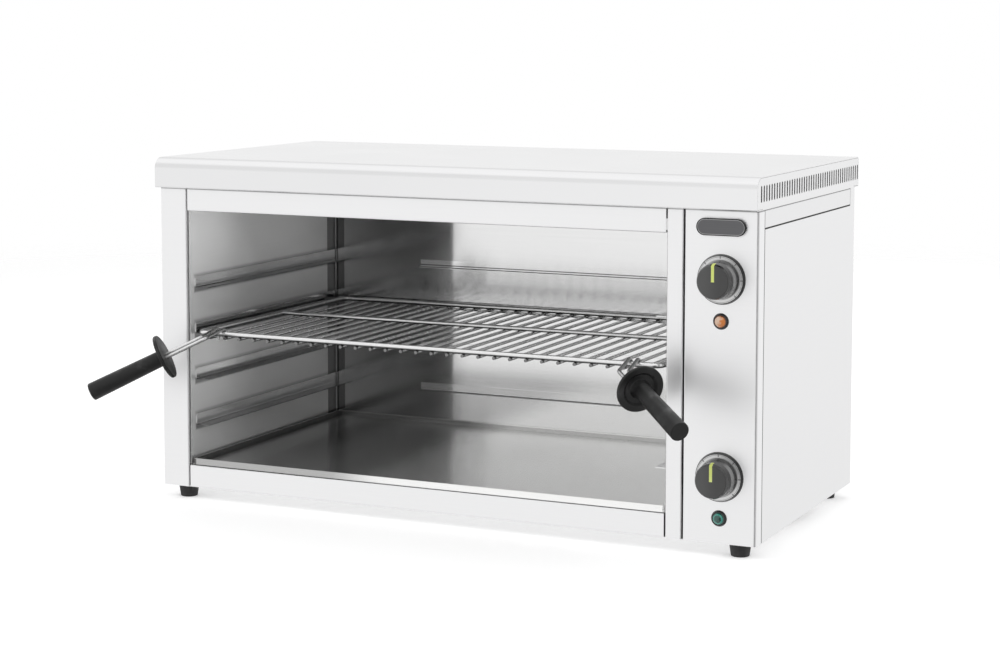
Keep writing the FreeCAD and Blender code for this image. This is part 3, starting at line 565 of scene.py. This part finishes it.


# steel: the grain runs along the smallest number in stretch; the up-down tones on the angles, rods and bails
# are painted shade

steel = {
    "front": {
        "tint": (0.94, 0.94, 0.945), "stretch": (14, 700, 700), "streaks": 0.03, "clouds": 0.03,
        "smooth": 0.37, "rough": 0.42, "bump": 0.04},
    "side": {
        "tint": (0.885, 0.885, 0.89), "stretch": (700, 14, 700), "streaks": 0.03, "clouds": 0.03,
        "smooth": 0.3, "rough": 0.36, "bump": 0.04},
    "strip": {
        "tint": (0.87, 0.87, 0.875), "stretch": (700, 14, 700), "streaks": 0.03, "clouds": 0.03,
        "smooth": 0.3, "rough": 0.36, "bump": 0.04},
    "cover": {
        "tint": (0.84, 0.84, 0.845), "stretch": (14, 700, 700), "streaks": 0.02, "clouds": 0.03,
        "smooth": 0.14, "rough": 0.2, "bump": 0.03},
    "lining": {
        "tint": (0.82, 0.82, 0.82), "stretch": (6, 500, 500), "streaks": 0.06, "clouds": 0.05,
        "smooth": 0.085, "rough": 0.1, "drawn": 1.0},
    "sideLining": {
        "tint": (0.98, 0.98, 0.98), "stretch": (500, 6, 500), "streaks": 0.05, "clouds": 0.05,
        "smooth": 0.14, "rough": 0.17, "drawn": 1.0, "metal": 0.55},
    "tray": {
        "tint": (0.98, 0.98, 0.97), "stretch": (6, 500, 500), "streaks": 0.08, "clouds": 0.06,
        "smooth": 0.15, "rough": 0.18, "drawn": 1.0, "axis": "Y", "metal": 0.85},
    "angle": {
        "tint": (0.80, 0.80, 0.80), "stretch": (500, 8, 500), "streaks": 0.06, "clouds": 0.05,
        "smooth": 0.10, "rough": 0.2, "bump": 0.02, "paintedUpDown": (0.05, 0.25)},
    "backLedge": {
        "tint": (0.82, 0.82, 0.82), "stretch": (6, 500, 500), "streaks": 0.06, "clouds": 0.05,
        "smooth": 0.085, "rough": 0.1, "drawn": 1.0},
    "wire": {
        "tint": (0.86, 0.86, 0.86), "stretch": (300, 300, 300), "streaks": 0.10, "clouds": 0.06,
        "smooth": 0.10, "rough": 0.2, "paintedUpDown": (0.12, 0.9), "metal": 0.75},
    "rackWire": {
        "tint": (0.93, 0.93, 0.93), "stretch": (300, 300, 300), "streaks": 0.10, "clouds": 0.06,
        "smooth": 0.2, "rough": 0.3, "paintedUpDown": (0.03, 1.0), "metal": 0.75},
    "bail": {
        "tint": (0.80, 0.80, 0.80), "stretch": (300, 300, 300), "streaks": 0.10, "clouds": 0.06,
        "smooth": 0.25, "rough": 0.35, "paintedUpDown": (0.45, 0.95)},
    "fixing": {
        "tint": (0.66, 0.66, 0.67), "stretch": (900, 900, 900), "streaks": 0.10, "clouds": 0.05,
        "smooth": 0.2, "rough": 0.32, "bump": 0.05},
}
steelPieces = {
    "front": (
        "left_post", "upper_front_rail", "lower_front_rail", "mullion", "control_panel", "base_plate"),
    "side": ("right_side_panel", "left_side_panel", "left_cover_end", "right_cover_end", "heat_shield"),
    "strip": ("right_side_strip", "left_side_strip"),
    "cover": ("top_cover",),
    "lining": ("back_panel", "reflector", "cavity_floor"),
    "sideLining": ("left_cavity_wall", "right_cavity_wall"),
    "tray": ("crumb_tray",),
    "angle": ("left_runners",),
    "backLedge": ("back_ledges", "right_runners", "element_brackets"),
    "wire": ("rack_frame",),
    "rackWire": ("rack_wires",),
    "bail": ("left_handle_bail", "right_handle_bail"),
    "fixing": (
        "earth_stud", "foot_screws", "casing_screws", "thermostat_shaft", "timer_shaft", "thermostat_bulb"),
}
for name, values in steel.items():
    dress(steelFinish(name + "Steel", places=shadows.get(name, ()), **values), *steelPieces[name])
print("steel dressed")


# black mouldings and rubber, and the cream bodies inside

mouldings = {
    # the grip's up-down tones are painted shade underneath and a painted highlight on top
    "grip": {
        "tint": (0.014, 0.014, 0.014), "rubbed": (0.045, 0.045, 0.045), "smooth": 0.3, "rough": 0.5,
        "paintedUpDown": (0.5, 3.0), "gloss": 0.3},
    "rubber": {
        "tint": (0.022, 0.022, 0.023), "rubbed": (0.03, 0.03, 0.03), "smooth": 0.6, "rough": 0.75,
        "grain": 900.0, "bump": 0.25},
    "socket": {
        "tint": (0.03, 0.03, 0.032), "rubbed": (0.045, 0.045, 0.045), "smooth": 0.4, "rough": 0.55},
    "cream": {
        "tint": (0.55, 0.52, 0.44), "rubbed": (0.6, 0.57, 0.5), "smooth": 0.4, "rough": 0.55},
    "bezel": {
        "tint": (0.012, 0.012, 0.012), "rubbed": (0.02, 0.02, 0.02), "smooth": 0.2, "rough": 0.3},
}
mouldingPieces = {
    "grip": ("left_handle_grip", "right_handle_grip"),
    "rubber": ("feet",),
    "socket": ("cable_gland",),
    "cream": ("thermostat_body", "timer_body", "terminal_block"),
    "bezel": ("orange_lamp_body", "green_lamp_body", "upper_dial", "lower_dial"),
}
for name, values in mouldings.items():
    dress(plasticFinish(name + "Moulding", **values), *mouldingPieces[name])
print("mouldings dressed")


# knobs: glossy side with a painted highlight band, satin front disc with painted shade towards the right, and
# a painted pointer

knob = {
    "side": (0.008, 0.008, 0.008),
    "rubbed": 1.4,  # times the side's colour
    "sideRough": (0.12, 0.17),
    "shine": (0.2, 0.2, 0.2),  # a painted highlight: a lighter band on the right half of the side
    "shineAcross": (0.008, 0.006),  # fades in from right of the middle to inside the right edge
    "band": (0.012, 0.018),  # behind the front face
    "bandFade": 0.002,
    "front": (0.048, 0.048, 0.048),
    "frontDark": (0.016, 0.016, 0.016),  # painted shade, towards the right
    "frontAcross": (0.008, 0.012),  # in from the left edge and from the right edge
    "frontDepth": 0.0012,
    "frontRough": 0.42,
    "gloss": 0.9,
    "bump": 0.08,
    "depth": 0.00004,
}
pointer = {"tint": (0.66, 0.74, 0.20), "rubbed": (0.72, 0.80, 0.28), "smooth": 0.35, "rough": 0.5}


def knobFinish(name, piece, values):
    material, tree, shader = newMaterial(name)
    low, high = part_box(piece)
    place = objectPlace(tree)
    parts = splitVector(tree, place)
    smooth, rough = values["sideRough"]
    skin = useGroup(tree, mouldedSkin, {
        "Vector": place, "Tint": values["side"], "Smooth": smooth, "Rough": rough,
        "Rubbed": tuple(values["rubbed"] * tone for tone in values["side"])})
    # the painted highlight band on the side, behind the front face
    start, end = (low.y + depth for depth in values["band"])
    fade = values["bandFade"]
    right, inset = values["shineAcross"]
    shine = product(
        tree,
        spread(tree, parts["X"], (low.x + high.x) / 2 + right, high.x - inset, smooth=True),
        spread(tree, parts["Y"], start - fade, start, smooth=True),
        spread(tree, parts["Y"], end, end + fade, 1.0, 0.0, smooth=True))
    side = mixColors(tree, shine, skin.outputs["Color"], values["shine"])
    # the front face, with painted shade towards the right
    left, inset = values["frontAcross"]
    across = spread(tree, parts["X"], low.x + left, high.x - inset, smooth=True)
    face = mixColors(tree, across, values["front"], values["frontDark"])
    front = spread(tree, parts["Y"], low.y + values["frontDepth"], low.y + values["frontDepth"] / 2)
    feedAll(tree, shader, {
        "Base Color": mixColors(tree, front, side, face),
        "Roughness": spread(tree, front, 0.0, 1.0, skin.outputs["Roughness"], values["frontRough"]),
        "Specular IOR Level": values["gloss"]})
    addBump(tree, shader, skin.outputs["Height"], values["depth"], values["bump"])
    return material


for name in ("upper", "lower"):
    dress(knobFinish(name + "KnobMoulding", name + "_knob", knob), name + "_knob")
dress(plasticFinish("pointerPaint", **pointer), "upper_knob_pointer", "lower_knob_pointer")
print("knobs dressed")


# dial faces: satin silver, spun round the axis, with dark lines, painted shade beside the knob, and tick
# marks

dialFace = {
    "tint": (0.72, 0.72, 0.72),
    "rough": (0.28, 0.36),
    "rings": 2600.0,  # to the metre
    "ringTone": 0.9,
    # two turned lines, and painted shade beside the knob: from and to, in from the edge, and tone
    "lines": ((0.0008, 0.0011, 0.45), (0.0040, 0.0042, 0.7), (0.0052, 0.02, 0.5)),
    "fade": 0.0003,
    "ticks": (0, 45, 90, 135, -45, -90, -135),  # degrees clockwise from the top
    "tickHalf": 0.022,  # radians
    "tickFade": 1.4,  # times its half width
    "tickLength": 0.0030,
    "tickTone": 0.4,
}


# place measured from a box's middle, and distance from its axis that runs front to back
def fromMiddle(tree, low, high):
    centred = vectorNode(tree, "SUBTRACT", objectPlace(tree), tuple((low + high) / 2))
    flat = vectorNode(tree, "MULTIPLY", centred, (1.0, 0.0, 1.0))
    return centred, vectorNode(tree, "LENGTH", flat)


def dialFinish(name, piece, values):
    material, tree, shader = newMaterial(name)
    low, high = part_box(piece)
    centred, away = fromMiddle(tree, low, high)
    radius, fade = (high.x - low.x) / 2, values["fade"]
    rings = mathNode(tree, "SINE", product(tree, away, values["rings"] * 2 * math.pi))
    tone = spread(tree, rings, -1.0, 1.0, values["ringTone"], 1.0)
    for outer, inner, lineTone in values["lines"]:
        off = mathNode(tree, "ABSOLUTE", mathNode(tree, "SUBTRACT", away, radius - (outer + inner) / 2))
        half = (inner - outer) / 2
        tone = product(tree, tone, spread(tree, off, half, half + fade, lineTone, 1.0))
    parts = splitVector(tree, centred)
    clock = mathNode(tree, "ARCTAN2", parts["X"], parts["Z"])
    start, half = radius - values["tickLength"], values["tickHalf"]
    outside = spread(tree, away, start, start + fade)
    for turn in values["ticks"]:
        off = mathNode(tree, "ABSOLUTE", mathNode(tree, "SUBTRACT", clock, math.radians(turn)))
        mark = product(tree, spread(tree, off, half, half * values["tickFade"], 1.0, 0.0), outside)
        tone = product(tree, tone, spread(tree, mark, 0.0, 1.0, 1.0, values["tickTone"]))
    feedAll(tree, shader, {
        "Base Color": toneColor(tree, values["tint"], tone), "Metallic": 1.0,
        "Roughness": spread(tree, rings, -1.0, 1.0, *values["rough"])})
    return material


for name in ("upper", "lower"):
    dress(dialFinish(name + "DialSilver", name + "_dial_face", dialFace), name + "_dial_face")


# badge: a dark brushed plate with a black border and a light line inside it

badge = {
    "tint": (0.14, 0.14, 0.145), "stretch": (16, 900, 900), "streaks": 0.25, "clouds": 0.1,
    "smooth": 0.3, "rough": 0.42, "bump": 0.08}
badgeRim = {
    "border": 0.0009,  # in from the edge, as are the line's two sides
    "line": (0.0011, 0.0016),
    "fade": 0.0002,
    "borderTint": (0.015, 0.015, 0.015),
    "lineTint": (0.42, 0.42, 0.42),
}


def badgeFinish(values, rim):
    material = steelFinish("badgeMetal", **values)
    tree = material.node_tree
    shader = next(node for node in tree.nodes if node.type == "BSDF_PRINCIPLED")
    face = shader.inputs["Base Color"].links[0].from_socket
    low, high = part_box("badge_plate")
    radius = (high.z - low.z) / 2
    straight = (high.x - low.x) / 2 - radius
    parts = splitVector(tree, vectorNode(tree, "SUBTRACT", objectPlace(tree), tuple((low + high) / 2)))
    past = mathNode(tree, "SUBTRACT", mathNode(tree, "ABSOLUTE", parts["X"]), straight)
    along = mathNode(tree, "MAXIMUM", past, 0.0)
    squares = mathNode(tree, "ADD", product(tree, along, along), product(tree, parts["Z"], parts["Z"]))
    inward = mathNode(tree, "SUBTRACT", radius, mathNode(tree, "SQRT", squares))
    fade = rim["fade"]
    start, end = rim["line"]
    line = product(
        tree, spread(tree, inward, start - fade, start), spread(tree, inward, end, end + fade, 1.0, 0.0))
    border = spread(tree, inward, rim["border"], rim["border"] + fade, 1.0, 0.0)
    color = mixColors(tree, line, face, rim["lineTint"])
    feed(tree, shader.inputs["Base Color"], mixColors(tree, border, color, rim["borderTint"]))
    return material


dress(badgeFinish(badge, badgeRim), "badge_plate")
print("dials and badge dressed")


# lamp lenses: two tones with an uneven border between them, the lighter left one a painted reflection, and a
# ring, a painted reflection on the green lens and a darker rim on the orange one, under a clear coat

lenses = {
    "orange_lamp_lens": {
        "left": (0.74, 0.52, 0.38), "right": (0.62, 0.20, 0.04), "ringTint": (0.20, 0.05, 0.01),
        "ring": (0.0064, 0.0070)},
    "green_lamp_lens": {
        "left": (0.02, 0.10, 0.08), "right": (0.005, 0.05, 0.04), "ringTint": (0.06, 0.34, 0.27),
        "ring": (0.0046, 0.0056)},
}
lensGlass = {
    "facets": 420.0,
    "facetDetail": 1.0,
    "facetReach": 0.012,
    "slant": -0.4,
    "border": 0.003,  # half its width
    "ringFade": 0.08,  # share of its radius
    "rough": 0.12,
    "coat": 0.7,
    "coatRough": 0.04,
}


def lensFinish(name, piece, values, glass):
    material, tree, shader = newMaterial(name)
    low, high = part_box(piece)
    centred, away = fromMiddle(tree, low, high)
    parts = splitVector(tree, centred)
    facets = swing(tree, noiseNode(tree, centred, glass["facets"], glass["facetDetail"]), glass["facetReach"])
    slant = mathNode(tree, "ADD", parts["X"], product(tree, parts["Z"], glass["slant"]))
    border = glass["border"]
    side = spread(tree, mathNode(tree, "ADD", slant, facets), -border, border, smooth=True)
    inner, outer = values["ring"]
    ring = product(
        tree,
        spread(tree, away, inner * (1 - glass["ringFade"]), inner, smooth=True),
        spread(tree, away, outer * (1 + glass["ringFade"]), outer, smooth=True))
    # the lighter left tone is a painted reflection; the green lens's ring is a painted reflection too
    color = mixColors(tree, side, values["left"], values["right"])
    feedAll(tree, shader, {
        "Base Color": mixColors(tree, ring, color, values["ringTint"]), "Roughness": glass["rough"],
        "Coat Weight": glass["coat"], "Coat Roughness": glass["coatRough"]})
    return material


for name, values in lenses.items():
    dress(lensFinish(name.split("_")[0] + "Lens", name, values, lensGlass), name)
print("lenses dressed")


# hidden pieces: heating rods and mineral wool

element = {
    "tint": (0.10, 0.095, 0.09), "stretch": (60, 60, 60), "streaks": 0.3, "clouds": 0.4,
    "smooth": 0.4, "rough": 0.6, "bump": 0.1}
wool = {
    "tint": (0.62, 0.55, 0.36), "fibre": (0.78, 0.73, 0.56), "stretch": (300.0, 40.0, 420.0),
    "detail": 6.0, "grit": 0.65, "rough": 0.95, "bump": 0.6, "depth": 0.0008}


def woolFinish(values):
    material, tree, shader = newMaterial("mineralWool")
    stretched = vectorNode(tree, "MULTIPLY", objectPlace(tree), values["stretch"])
    fibres = noiseNode(tree, stretched, 1.0, values["detail"], values["grit"])
    feedAll(tree, shader, {
        "Base Color": mixColors(tree, fibres, values["tint"], values["fibre"]),
        "Roughness": values["rough"]})
    addBump(tree, shader, fibres, values["depth"], values["bump"])
    return material


dress(steelFinish("rodSheath", **element), "heating_element_1", "heating_element_2", "heating_element_3")
dress(woolFinish(wool), "top_insulation", "left_insulation", "right_insulation")
print("hidden pieces dressed")
